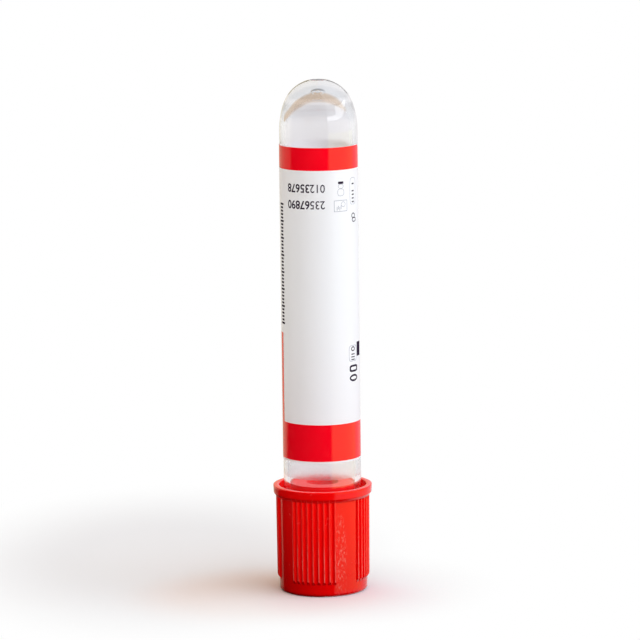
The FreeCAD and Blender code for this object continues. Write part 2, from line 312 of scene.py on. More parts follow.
def turned(name, profile, columns, finishes, zone_of=None):
    """A profile that starts and ends on the axis, carried round Z and closed there by fans of
    triangles.  The zones say which of the finishes each row has."""
    body = profile[1:-1]
    azimuth = np.arange(columns) * 2 * math.pi / columns
    points, quads, quad_uv, rows = carried_round(body[:, :1], azimuth, body[:, 1:], False)
    fans = end_fans(profile, body, columns, len(points))
    points = np.vstack([points, [[0, 0, profile[0, 1]], [0, 0, profile[-1, 1]]]])
    zones = None
    if zone_of:
        zones = zone_of(body)
        zones = np.concatenate([zones[rows], np.repeat(zones[[0, -1]], columns)])
    return solid_object(name, points, quads, quad_uv, finishes, zones, fans=fans)


def bore_radius(tube):
    return tube.outer_diameter / 2 - tube.wall


def mouth_height(cap, stopper):
    return cap.stopper_recess + stopper.head_thickness


def tube_profile(tube, mouth):
    """Gate nub and dimple, flat, ball, long blending arc and straight wall outside; rim; drafted bore
    and ball inside.  The ball inside meets the bore's slope without a kink."""
    outer = tube.outer_diameter / 2
    tip = mouth + tube.total
    ball = outer - tube.dome_inset
    ball_z = tip + tube.gate_flat_depth - ball
    flat = math.sqrt(ball**2 - (tip - ball_z) ** 2)
    blend_r = outer - tube.dome_blend_radius
    blend_z = ball_z - math.sqrt((tube.dome_blend_radius - ball) ** 2 - blend_r**2)
    join = math.degrees(math.atan2(ball_z - blend_z, -blend_r))
    dimple = flat - tube.gate_rim_width
    dimple_z = tip - tube.gate_dimple_depth
    nub, nub_z = tube.gate_nub_radius, dimple_z + tube.gate_nub_height
    bore, draft = bore_radius(tube), tube.bore_draft
    slope = math.tan(draft)
    inner_tip = tip - tube.end_thickness
    inner = (bore - slope * (inner_tip - mouth)) / (math.cos(draft) - slope * (1 - math.sin(draft)))
    inner_z = inner_tip - inner
    rim = tube.rim_round
    rim_bore = bore - slope * rim
    soft = 0.00005            # round on the gate's small edges
    return outline(
        (0, nub_z), (nub - soft, nub_z),
        arc(nub - soft, nub_z - soft, soft, 90, 0, 3),
        (nub, dimple_z), (dimple - tube.gate_dimple_depth, dimple_z, 2), (dimple - soft, tip - soft, 2),
        arc(dimple, tip - soft, soft, 135, 90, 2),
        (flat - soft, tip),
        arc(0, ball_z, ball, math.degrees(math.acos(flat / ball)), join, 56),
        arc(blend_r, blend_z, tube.dome_blend_radius, join, 0, 24),
        (outer, mouth + rim, 24),
        arc(outer - rim, mouth + rim, rim, 0, -90, 6),
        (rim_bore + rim, mouth),
        arc(rim_bore + rim, mouth + rim, rim, 270, 180, 6),
        (inner * math.cos(draft), inner_z + inner * math.sin(draft), 24),
        arc(0, inner_z, inner, math.degrees(draft), 90, 56))


def stopper_profile(tube, cap, stopper):
    """Dished target, rounded head, fillet, plug against the drafted bore, its lead-in cone, and the
    hollow in its end."""
    mouth = mouth_height(cap, stopper)
    plug_end = mouth + stopper.plug_length
    plug_foot = bore_radius(tube) + stopper.plug_bite
    lead = stopper.plug_length - stopper.plug_lead_length
    plug = plug_foot - math.tan(tube.bore_draft) * lead
    tip = plug - stopper.plug_lead_depth
    head = tube.outer_diameter / 2 + stopper.head_overhang
    edge, fillet, low = stopper.head_edge_round, stopper.plug_foot_fillet, cap.stopper_recess
    hollow = stopper.hollow_radius
    hollow_foot, floor = hollow - stopper.hollow_taper, plug_end - stopper.hollow_depth
    dish = (stopper.target_radius**2 + stopper.target_depth**2) / (2 * stopper.target_depth)
    painted_shadow_spread = math.degrees(math.asin(stopper.target_radius / dish))
    soft = 0.00008            # round on the edges of the plug's inner end
    return outline(
        arc(0, low + stopper.target_depth - dish, dish, 90, 90 - painted_shadow_spread, 14),
        (head - edge, low, 2),
        arc(head - edge, low + edge, edge, -90, 0, 8),
        (head, mouth - edge, 4),
        arc(head - edge, mouth - edge, edge, 0, 90, 8),
        (plug_foot + fillet, mouth),
        arc(plug_foot + fillet, mouth + fillet, fillet, 270, 180, 5),
        (plug, mouth + lead, 10), (tip + soft / 2, plug_end - soft, 3),
        arc(tip - soft / 2, plug_end - soft, soft, 20, 90, 4),
        (tip - soft, plug_end), (hollow + soft, plug_end, 3),
        arc(hollow + soft, plug_end - soft, soft, 90, 180, 3),
        (hollow_foot, floor, 5), (0, floor, 3))


def smooth_min(a, b, ease):
    """The lesser of two values, rounded over where they are within the ease of each other."""
    near = np.maximum(ease - np.abs(a - b), 0.0) / ease
    return np.minimum(a, b) - near**2 * ease / 4


def rib_section(offset, cap, ease):
    """Height of a rib at a distance from its middle line: the lesser of a sloping flank and a rounded
    crest, and at least zero, each corner eased."""
    half_foot, half_crest = cap.rib_foot_width / 2, cap.rib_crest_width / 2
    shoulder = cap.rib_height - cap.rib_crest_rise
    flank = (half_foot - np.abs(offset)) * shoulder / (half_foot - half_crest)
    crest = cap.rib_height - cap.rib_crest_rise * (offset / half_crest) ** 2
    return -smooth_min(-smooth_min(flank, crest, ease), 0.0, ease)


def cap_radii(cap, stopper, tube):
    """Radius of the pocket round the stopper's head, and of the drafted outside at the end face."""
    pocket = tube.outer_diameter / 2 + stopper.head_overhang + cap.pocket_clearance
    return pocket, pocket + cap.wall


def cap_profile(cap, stopper, tube):
    """Closed loop: end face, foot round, outside, flange, lip, flared skirt, bead, pocket and collar."""
    outer = tube.outer_diameter / 2
    pocket, foot = cap_radii(cap, stopper, tube)
    slope = math.tan(cap.draft)
    hole, hole_round, foot_round = cap.needle_hole_diameter / 2, cap.needle_hole_round, cap.foot_round
    collar, collar_round, recess = hole + cap.collar_wall, cap.collar_round, cap.stopper_recess
    top = cap.height
    flange = foot + slope * top + cap.flange_overhang
    flange_foot, flange_low = flange - cap.flange_taper, top - cap.flange_height
    slope_z = flange_low - cap.flange_slope_height
    slope_r = flange_foot - cap.flange_slope_depth
    lip = cap.lip_round
    skirt = outer + cap.skirt_clearance
    mouth_bore = skirt + cap.flare
    bead = outer + cap.bead_clearance
    bead_z = mouth_height(cap, stopper) + cap.bead_gap
    bead_low, bead_high = bead_z + cap.bead_flank, bead_z + cap.bead_flank + cap.bead_land
    side = foot + slope * foot_round
    soft = 0.00006            # round in the corners under the flange

    # rows up the outside, closest where the ribs' lower ends rise
    start = cap.rib_start
    rib_top = start + cap.rib_height * math.tan(cap.rib_end_slope)
    wall_z = np.concatenate([
        np.linspace(foot_round, start - 0.0001, 4), np.linspace(start - 0.00003, rib_top + 0.0001, 13),
        np.linspace(rib_top + 0.0006, slope_z - 0.0003, 14), [slope_z - 0.00012, slope_z - soft]])
    under = foot + slope * slope_z
    return outline(
        arc(hole + hole_round, hole_round, hole_round, 180, 270, 5),
        (side - foot_round, 0, 3),
        arc(side - foot_round, foot_round, foot_round, -90, 0, 9),
        np.column_stack([foot + slope * wall_z, wall_z]),
        arc(under + soft, slope_z - soft, soft, 180, 90, 3),
        (slope_r - soft, slope_z, 2), (slope_r, slope_z + soft / 2),
        (flange_foot - soft, flange_low - soft, 2),
        arc(flange_foot - 2 * soft, flange_low + soft, 2 * soft, -45, 0, 3),
        (flange_foot, flange_low + 2 * soft), (flange, top - lip, 4),
        arc(flange - lip, top - lip, lip, 0, 90, 6),
        (mouth_bore + lip, top, 2),
        arc(mouth_bore + lip, top - lip, lip, 90, 180, 6),
        (skirt, top - lip - cap.flare_length, 6), (skirt, bead_high + cap.bead_flank, 4),
        (bead, bead_high, 2), (bead, bead_low), (pocket, bead_z, 2),
        (pocket, cap.end_wall, 4), (collar, cap.end_wall), (collar, recess - collar_round, 3),
        arc(collar - collar_round, recess - collar_round, collar_round, 0, 90, 4),
        (hole, recess), (hole, hole_round, 4))[:-1]


def cap_surface(cap, stopper, tube):
    """Radius, azimuth, height and rib crest of the cap's grid: the profile carried round Z, its outside
    raised by the rib section at each azimuth, less where the ribs' lower ends slope away."""
    profile = cap_profile(cap, stopper, tube)
    foot = cap_radii(cap, stopper, tube)[1]
    wall_radius = foot + math.tan(cap.draft) * profile[:, 1]
    below_flange = profile[:, 1] < cap.height - cap.flange_height
    on_outside = (below_flange & (profile[:, 0] > wall_radius - ON_WALL))[:, None]

    ease, end_ease = 0.00003, 0.00004
    pitch = 2 * math.pi / cap.rib_pitches
    half_foot, half_crest = cap.rib_foot_width / 2, cap.rib_crest_width / 2
    flank = np.array([
        half_crest / 2, half_crest - ease, half_crest + ease,
        half_foot - 1.6 * ease, half_foot, half_foot + ease])
    offsets = np.concatenate([-flank[::-1], [0.0], flank, [pitch * foot / 2]])
    index = np.arange(cap.rib_pitches)
    per_group = cap.rib_pitches // cap.rib_groups
    spot = (index + per_group // 2) % per_group - per_group // 2
    ribbed = (np.abs(spot) <= (cap.ribs_per_group - 1) / 2)[:, None]
    azimuth = (cap.rib_turn + index[:, None] * pitch + offsets / foot).ravel()
    section = (ribbed * rib_section(offsets, cap, ease)).ravel()

    height = profile[:, 1:]
    ramp = (height - cap.rib_start) / math.tan(cap.rib_end_slope)
    rise = np.maximum(smooth_min(ramp, section, end_ease), 0.0) * (section > 0)
    crest = (np.maximum(1 - np.abs(offsets) / half_crest, 0.0) * ribbed).ravel()
    crest = crest * (on_outside & (rise > 0.8 * cap.rib_height))
    raised = np.maximum(profile[:, :1], wall_radius[:, None] + rise)
    radius = np.where(on_outside, raised, profile[:, :1])
    return radius, azimuth, height, crest


def cap_object(name, cap, stopper, tube, finish):
    """The cap, with how near each point is to a rib's crest as an attribute."""
    radius, azimuth, height, crest = cap_surface(cap, stopper, tube)
    points, quads, quad_uv, _ = carried_round(radius, azimuth, height, True)
    piece = solid_object(name, points, quads, quad_uv, [finish], sharp=40.0)
    piece.data.attributes.new("crest", "FLOAT", "POINT").data.foreach_set("value", crest.ravel())
    return piece


def sheet_shell(rows, columns):
    """Corners of the closed shell between two grids of the same shape, the second's points numbered
    after the first's: both faces and a strip along each of the four edges."""
    count = rows * columns
    face = grid_faces(rows, columns, False, False)[0]
    index = np.arange(count).reshape(rows, columns)
    strips = [
        np.stack([edge[:-1], edge[1:], edge[1:] + count, edge[:-1] + count], axis=1)
        for edge in (index[0, ::-1], index[:, 0], index[-1], index[::-1, -1])]
    return np.vstack([face, face[:, ::-1] + count, *strips])


def label_object(name, tube, label, cap, mouth, finishes):
    """A thin sheet round the tube: a grid of azimuth and height with rows and columns on the printed
    edges, and both ends drawn in round the corners.  Its finishes are film, print and glued side."""
    low = cap.height + label.to_cap
    high = mouth + tube.total - label.to_tip
    outer = tube.outer_diameter / 2 + label.thickness
    end = label.window - (2 * math.pi - label.wrap) / 2
    start = end - label.wrap
    corner = label.corner_radius
    margin = 3 * corner / outer
    band_low, band_high = low + label.foot_band, high - label.top_band
    panel_top = band_low + label.panel_height
    bare_low, bare_high = low + label.bare_foot, high - label.bare_top
    panel = np.array([label.panel_edge - label.panel_wrap, label.panel_edge])
    bend = corner * (1 - np.cos(np.linspace(0, math.pi / 2, 9)))
    z = np.unique(np.round(np.concatenate([
        low + bend, high - bend, [band_low, panel_top, band_high, bare_low, bare_high],
        np.linspace(low + corner, high - corner, 40)[1:-1]]), 7))
    azimuth = np.unique(np.concatenate([
        np.linspace(start, start + margin, 6), np.linspace(end - margin, end, 6),
        np.linspace(start + margin, end - margin, 170), panel]))
    reach = corner - np.minimum(np.minimum(z - low, high - z), corner)
    inset = (corner - np.sqrt(np.maximum(corner**2 - reach**2, 0.0))) / outer
    from_start = np.clip(1 - (azimuth - start) / margin, 0, 1)
    from_end = np.clip(1 - (end - azimuth) / margin, 0, 1)
    turn = azimuth + inset[:, None] * (from_start - from_end)
    z = z[:, None]

    quads = sheet_shell(*turn.shape)
    points = np.vstack([
        around(radius, turn, z).reshape(-1, 3) for radius in (outer, tube.outer_diameter / 2 + GLUE)])
    flat = np.stack(np.broadcast_arrays(turn * outer, z), axis=2).reshape(-1, 2) / UV_LENGTH
    quad_uv = np.vstack([flat, flat])[quads]
    across, up = (quad_uv.mean(axis=1) * UV_LENGTH).T
    on_front, on_back = (quads < turn.size).all(axis=1), (quads >= turn.size).all(axis=1)
    in_print = (up < band_low) | (up > band_high) | (
        (up < panel_top) & (across > panel[0] * outer) & (across < panel[1] * outer))
    in_print &= (up > bare_low) & (up < bare_high)
    in_print |= ~on_front & ~on_back & (up > band_high)
    zones = np.where(on_back, 2, in_print.astype(int))
    return solid_object(name, points, quads, quad_uv, finishes, zones)


def bars(marks, radius):
    """Printed rectangles, each given as azimuth in degrees, height, width across and height of the
    mark: flat points and faces, in strips that are narrow enough to follow the label."""
    points, quads, count = [], [], 0
    for azimuth, z, width, tall in marks:
        steps = max(2, int(width / PRINT_STEP) + 1)
        across = math.radians(azimuth) * radius + np.linspace(-width / 2, width / 2, steps)
        height = np.repeat([z - tall / 2, z + tall / 2], steps)
        points.append(np.column_stack([np.tile(across, 2), height]))
        here = count + np.arange(steps - 1)
        quads.append(np.stack([here, here + 1, here + 1 + steps, here + steps], axis=1))
        count += 2 * steps
    return np.vstack(points), np.vstack(quads)


def numerals(text, azimuth, z, tall, bold, radius):
    """A row of condensed numerals that reads with the round end down: font outlines, cut into narrow
    strips and turned half round, as flat points and faces."""
    curve = bpy.data.curves.new("numerals", "FONT")
    curve.body = text
    curve.size = tall / DIGIT_HEIGHT
    curve.offset = bold * tall
    curve.resolution_u = 3
    curve.fill_mode = "FRONT"
    shape = linked("numerals", curve)
    bpy.context.view_layer.update()
    mesh = bpy.data.meshes.new_from_object(shape)
    bpy.data.objects.remove(shape)
    bpy.data.curves.remove(curve)
    sheet = bmesh.new()
    sheet.from_mesh(mesh)
    bpy.data.meshes.remove(mesh)
    bmesh.ops.triangulate(sheet, faces=sheet.faces[:])
    across = [v.co.x for v in sheet.verts]
    for cut in np.arange(min(across) + PRINT_STEP, max(across), PRINT_STEP):
        bmesh.ops.bisect_plane(
            sheet, geom=sheet.verts[:] + sheet.edges[:] + sheet.faces[:],
            plane_co=(cut, 0, 0), plane_no=(1, 0, 0))
    bmesh.ops.triangulate(sheet, faces=sheet.faces[:])
    sheet.verts.index_update()
    points = np.array([v.co[:2] for v in sheet.verts])
    faces = np.array([[v.index for v in f.verts] for f in sheet.faces])
    sheet.free()
    middle = (points.min(axis=0) + points.max(axis=0)) / 2
    return -(points - middle) * [CONDENSED, 1.0] + [math.radians(azimuth) * radius, z], faces


def ring(azimuth, z, across, tall, line, corner, radius):
    """A printed ring, as a strip of quads between two superellipses: half width times |cos| and half
    height times |sin|, each to the power 2 / corner."""
    turn = np.radians(np.linspace(0, 360, RING_STEPS + 1))
    way = np.column_stack([np.cos(turn), np.sin(turn)])
    way = np.sign(way) * np.abs(way) ** (2 / corner)
    middle = [math.radians(azimuth) * radius, z]
    outer, inner = (way * [across / 2 - inset, tall / 2 - inset] + middle for inset in (0, line))
    here = np.arange(RING_STEPS)
    there = here + RING_STEPS + 1
    return np.vstack([outer, inner]), np.stack([here, here + 1, there + 1, there], axis=1)


def print_object(name, radius, finishes):
    """All small print on the label, on one thin layer just off the film, in dark and in pale ink.
    Azimuths are in degrees.  A bar is azimuth, height, width across and height of the mark, and a ring
    has also the width of its line and how square its corners are."""
    dark, pale = [], []
    # two rows of numerals, inked more heavily on the left
    for text, z in (("01235678", 0.06865), ("23567890", 0.06592)):
        dark.append(numerals(text[:3], -2.5, z, 0.0014, 0.01, radius))
        dark.append(numerals(text[3:], -32.5, z, 0.0014, 0.03, radius))
    for ink, *form in (
            # a vial in two rings, and the loop in the framed sign under it
            (pale, 33.0, 0.0689, 0.00105, 0.0008, 0.00008, 2.0),
            (pale, 33.0, 0.0679, 0.0013, 0.00125, 0.00008, 2.6),
            (pale, 37.0, 0.0659, 0.0009, 0.0009, 0.00008, 2.0),
            # a capsule beside them, and two crossing loops under it
            (pale, 57.5, 0.0679, 0.0017, 0.0045, 0.00007, 4.0),
            (dark, 58.0, 0.0638, 0.0010, 0.0009, 0.00016, 2.2),
            (dark, 60.0, 0.0631, 0.0012, 0.0008, 0.00016, 2.2),
            # lower down, beside the window: a frame with a dot, and two bold signs
            (pale, 54.0, 0.04075, 0.0021, 0.0027, 0.00009, 5.0),
            (dark, 54.0, 0.0415, 0.0010, 0.0008, 0.00018, 2.0),
            (dark, 55.5, 0.0382, 0.0022, 0.0012, 0.00033, 4.0),
            (dark, 55.5, 0.0366, 0.0022, 0.0012, 0.00033, 2.0)):
        ink.append(ring(*form, radius))
    # the vial's lid, the small marks in the capsule and in the lower frame, and a black bar
    filled = [(33.0, 0.0695, 0.00105, 0.0004)]
    filled += [(57.5, 0.0661 + 0.0006 * k, 0.0006, 0.00022) for k in (0, 1, 2, 3, 5)]
    filled += [(54.0, 0.0406 - 0.00045 * k, 0.0009, 0.00018) for k in range(3)]
    filled += [(70.5, 0.0413, 0.0014, 0.0024)]
    # a scale along the tube, beside the panel, every fifth tick longer
    filled += [(-70.0, 0.0657 - 0.00057 * k, 0.0010 if k % 5 else 0.0014, 0.00034) for k in range(36)]
    dark.append(bars(filled, radius))
    # the sign's frame and the marks in it
    frame_bars = [(33.0, z, 0.0025, 0.0001) for z in (0.06475, 0.06655)]
    frame_bars += [(azimuth, 0.06565, 0.0001, 0.0018) for azimuth in (22.1, 43.9)]
    frame_bars += [(26.5 + 2.2 * k, 0.0652 + 0.0002 * (k % 2), 0.00012, 0.0006) for k in range(4)]
    pale.append(bars(frame_bars, radius))

    points, faces, zones, count = [], [], [], 0
    for zone, runs in enumerate((dark, pale)):
        for flat, corners in runs:
            points.append(around(radius, flat[:, 0] / radius, flat[:, 1]))
            faces += (corners + count).tolist()
            zones += [zone] * len(corners)
            count += len(flat)
    mesh = new_mesh(name, np.vstack(points).tolist(), faces, finishes, zones)
    sheet = bmesh.new()
    sheet.from_mesh(mesh)
    inward = [f for f in sheet.faces if f.normal.xy.dot(f.calc_center_median().xy) < 0]
    bmesh.ops.reverse_faces(sheet, faces=inward)
    sheet.to_mesh(mesh)
    sheet.free()
    return linked(name, mesh)


# ---- finishes ----------------------------------------------------------------------------------------
def add(tree, kind, values=None, **settings):
    """A shader node with its settings, its inputs joined to sockets or set to values.  Colours are
    given without an alpha."""
    node = tree.nodes.new("ShaderNode" + kind)
    for key, value in settings.items():
        setattr(node, key, value)
    for key, value in (values or {}).items():
        socket = node.inputs[key]
        if isinstance(value, bpy.types.NodeSocket):
            tree.links.new(value, socket)
        else:
            socket.default_value = (*value, 1.0) if socket.type == "RGBA" else value
    return node


def math_node(tree, operation, *values):
    return add(tree, "Math", dict(enumerate(values)), operation=operation).outputs[0]


def vector_node(tree, operation, *values):
    """The result of vector maths, which is one number for a length, a distance or a dot product."""
    node = add(tree, "VectorMath", dict(enumerate(values)), operation=operation)
    return node.outputs["Value" if operation in ("LENGTH", "DISTANCE", "DOT_PRODUCT") else "Vector"]


def product(tree, first, *others):
    for other in others:
        first = math_node(tree, "MULTIPLY", first, other)
    return first


def smoothstep(tree, value, low, high, to_low=0.0, to_high=1.0):
    return add(tree, "MapRange", {
        "Value": value, "From Min": low, "From Max": high, "To Min": to_low, "To Max": to_high},
        interpolation_type="SMOOTHSTEP").outputs["Result"]


def mixed(tree, factor, a, b):
    """The first colour where the factor is 0, the second where it is 1."""
    return add(tree, "Mix", {"Factor": factor, "A": a, "B": b}, data_type="RGBA").outputs["Result"]


def mixed_shader(tree, factor, a, b):
    return add(tree, "MixShader", {0: factor, 1: a, 2: b}).outputs[0]


def noise(tree, place, scale, detail, roughness=0.5):
    return add(tree, "TexNoise", {
        "Vector": place, "Scale": scale, "Detail": detail, "Roughness": roughness}).outputs["Fac"]


def bump(tree, height, strength, distance):
    return add(tree, "Bump", {
        "Height": height, "Strength": strength, "Distance": distance}).outputs[0]


def stretched(tree, place, scale, move=(0.0, 0.0, 0.0)):
    """The place, scaled along each axis and then moved."""
    return add(tree, "Mapping", {"Vector": place, "Location": move, "Scale": scale}).outputs[0]


def upward(tree, vector):
    """The Z part of a vector."""
    return add(tree, "SeparateXYZ", {0: vector}).outputs["Z"]


def new_finish(name):
    """A material without nodes, its tree, and the place on the object that its patterns start from."""
    finish = bpy.data.materials.new(name)
    finish.use_nodes = True
    tree = finish.node_tree
    tree.nodes.clear()
    return finish, tree, add(tree, "TexCoord").outputs["Object"]


def let_light_through(tree, surface, tint, soft=False, glassy=False, absorb=0.0):
    """The surface, but clear to rays that look for a lamp, if soft to soft light that has met a dull
    surface, and if glassy to rays that have been thrown to and fro inside the wall.  A thick wall
    absorbs more light than a thin one."""
    path = add(tree, "LightPath").outputs
    clear = add(tree, "BsdfTransparent", {"Color": tint}).outputs[0]
    factor = path["Is Shadow Ray"]
    if soft:
        factor = math_node(tree, "MAXIMUM", factor, path["Is Diffuse Ray"])
    if glassy:
        thrown = math_node(tree, "GREATER_THAN", path["Glossy Depth"], 1.5)
        factor = math_node(tree, "MAXIMUM", factor, thrown)
    values = {"Surface": mixed_shader(tree, factor, surface, clear)}
    if absorb:
        values["Volume"] = add(tree, "VolumeAbsorption", {
            "Color": (0.35, 0.36, 0.4), "Density": absorb}).outputs[0]
    add(tree, "OutputMaterial", values)


def clear_polyester(tint):
    """Clear moulded wall: glassy, with a faint ripple and hazy finger marks."""
    finish, tree, place = new_finish("clear_polyester")
    haze = smoothstep(tree, noise(tree, place, 220.0, 2.0), 0.45, 0.75, 0.005, 0.05)
    shader = add(tree, "BsdfPrincipled", {
        "Base Color": tint, "Roughness": haze, "IOR": 1.57, "Transmission Weight": 1.0,
        "Normal": bump(tree, noise(tree, place, 90.0, 1.0), 0.03, 0.0005)})
    let_light_through(tree, shader.outputs[0], CLEAR, soft=True, glassy=True, absorb=20.0)
    return finish


def dried_coat(tint, thin_from, thin_to):
    """Bore wall under a dried coat: mostly clear, hazy and finely grained, and clearer between two
    heights towards the round end."""
    finish, tree, place = new_finish("dried_coat")
    thin = smoothstep(tree, upward(tree, place), thin_from, thin_to, 1.0, 0.12)
    grain = noise(tree, place, 9000.0, 2.0)
    shader = add(tree, "BsdfPrincipled", {
        "Base Color": tint, "IOR": 1.57, "Transmission Weight": 0.975,
        "Roughness": product(tree, smoothstep(tree, grain, 0.3, 0.7, 0.16, 0.36), thin),
        "Normal": bump(tree, product(tree, grain, thin), 0.25, 0.00003)})
    let_light_through(tree, shader.outputs[0], CLEAR, soft=True, glassy=True)
    return finish


def moulded_rubber(tint, dusty_and_lit_above):
    """Matt red rubber with a fine grain, and a dusty bloom on its inner end that is partly painted
    light:
    only the faces that look up are made paler and pinker.
    """
    finish, tree, place = new_finish("moulded_rubber")
    grain = noise(tree, place, 5200.0, 3.0)
    facing = upward(tree, add(tree, "NewGeometry").outputs["Normal"])
    # dust and painted light: the inner end's upward faces are mixed paler and pinker
    dust_and_lit_top = product(
        tree, smoothstep(tree, grain, 0.35, 0.7, 0.3, 0.8), smoothstep(tree, facing, 0.3, 0.8),
        smoothstep(tree, upward(tree, place), dusty_and_lit_above - 0.0006, dusty_and_lit_above))
    shader = add(tree, "BsdfPrincipled", {
        "Base Color": mixed(tree, dust_and_lit_top, tint, (1.0, tint[1] + 0.17, tint[2] + 0.18)),
        "Roughness": 0.62, "Specular IOR Level": 0.03,
        "Sheen Weight": 0.3, "Sheen Roughness": 0.5, "Sheen Tint": (1.0, 0.3, 0.3),
        "Normal": bump(tree, grain, 0.3, 0.00004)})
    add(tree, "OutputMaterial", {"Surface": shader.outputs[0]})
    return finish


def scuffed_red_plastic(tint, crest_highlight_height):
    """Glossy moulded plastic: a slight orange-peel skin, scuffs, rubbed patches, and ribs painted paler
    along their crests below a height, a painted highlight."""
    finish, tree, place = new_finish("scuffed_red_plastic")
    scuffs = smoothstep(tree, noise(tree, place, 700.0, 5.0, 0.65), 0.56, 0.7)
    # fine streaks, rubbed pale, down one smooth panel
    panel = stretched(tree, place, (950.0, 330.0, 135.0), (-2.75, 2.45, -0.9))
    off_panel = vector_node(tree, "LENGTH", panel)
    along = stretched(tree, place, (1.0, 1.0, 0.4))
    streaks = smoothstep(tree, noise(tree, along, 3400.0, 4.0, 0.7), 0.5, 0.68)
    rubbed = product(tree, streaks, smoothstep(tree, off_panel, 0.4, 1.3, 0.7, 0.0))
    crest = add(tree, "Attribute", attribute_name="crest").outputs["Fac"]
    # painted highlight: pale colour along the ribs' crests, stronger low down
    painted_crest_highlight = product(
        tree, smoothstep(tree, crest, 0.45, 0.85),
        smoothstep(tree, upward(tree, place), 0.5 * crest_highlight_height, crest_highlight_height, 0.5, 0.12),
        smoothstep(tree, noise(tree, along, 1500.0, 3.0, 0.6), 0.35, 0.6, 0.4, 1.0))
    shader = add(tree, "BsdfPrincipled", {
        "Base Color": mixed(tree, math_node(tree, "MAXIMUM", rubbed, painted_crest_highlight), tint, (1.0, 0.27, 0.22)),
        "Roughness": math_node(tree, "MULTIPLY_ADD", scuffs, 0.25, 0.08),
        "IOR": 1.5, "Specular IOR Level": 0.28,
        "Subsurface Weight": 0.15, "Subsurface Radius": (1.0, 0.15, 0.1), "Subsurface Scale": 0.0003,
        "Normal": bump(tree, noise(tree, place, 900.0, 3.0), 0.12, 0.00006)})
    let_light_through(tree, shader.outputs[0], (0.95, 0.015, 0.015))
    return finish


def satin_film(name, tint, rough, shine=0.0, glow=0.0, passing=CLEAR):
    """Printed film: satin, with a very faint unevenness from the glue under it, and thin enough for a
    share of the light to glow through it, and for lamps to reach what is behind it."""
    finish, tree, place = new_finish(name)
    roughness = smoothstep(tree, noise(tree, place, 700.0, 3.0), 0.3, 0.7, rough - 0.03, rough + 0.03)
    shader = add(tree, "BsdfPrincipled", {
        "Base Color": tint, "Roughness": roughness, "IOR": 1.5, "Specular IOR Level": shine,
        "Normal": bump(tree, noise(tree, place, 120.0, 2.0), 0.05, 0.0003)})
    through = add(tree, "BsdfTranslucent", {"Color": tint})
    film = mixed_shader(tree, glow, shader.outputs[0], through.outputs[0])
    let_light_through(tree, film, passing, soft=True)
    return finish


def floor_finish(tint):
    """Pale floor that takes the shadow, and turns into the white background further off, but for a patch
    of painted shadow left of and behind the cap and close round its foot, and painted red bounce light
    from the cap.  Light that it throws back at the tube is dimmer close to it."""
    finish, tree, place = new_finish("pale_floor")
    path = add(tree, "LightPath").outputs
    seen = math_node(tree, "MAXIMUM", path["Is Camera Ray"], path["Is Transmission Ray"])
    reach = vector_node(tree, "LENGTH", place)
    # painted shadow: the floor keeps its grey instead of fading to white in a patch left of and behind
    # the cap, and close round the cap's foot
    painted_shadow_spread = vector_node(tree, "LENGTH", stretched(tree, place, (30.0, 20.0, 1.0), (0.82, -0.5, 0.0)))
    fade = product(
        tree, smoothstep(tree, painted_shadow_spread, 0.45, 1.35), smoothstep(tree, reach, 0.0, 0.032), seen)
    # painted red bounce light from the cap: the floor is warmer on one side of the cap and pinker on the
    # other
    bounce_tinted = tuple(tint)
    for centre, wide, tone in (((-0.01, -0.007, 0.0), 0.027, (1.0, 0.9, 0.85)),
                               ((0.006, -0.013, 0.0), 0.02, (0.975, 0.88, 0.9))):
        share = smoothstep(tree, vector_node(tree, "DISTANCE", place, centre), wide, 0.4 * wide)
        bounce_tinted = vector_node(tree, "MULTIPLY", bounce_tinted, mixed(tree, share, CLEAR, tone))
    thrown_back = smoothstep(tree, reach, 0.018, 0.065, 0.0, 0.75)
    shader = add(tree, "BsdfDiffuse", {"Color": mixed(tree, seen, thrown_back, bounce_tinted)})
    white = add(tree, "Emission", {"Color": CLEAR, "Strength": 1.0})
    add(tree, "OutputMaterial", {
        "Surface": mixed_shader(tree, fade, shader.outputs[0], white.outputs[0])})
    return finish


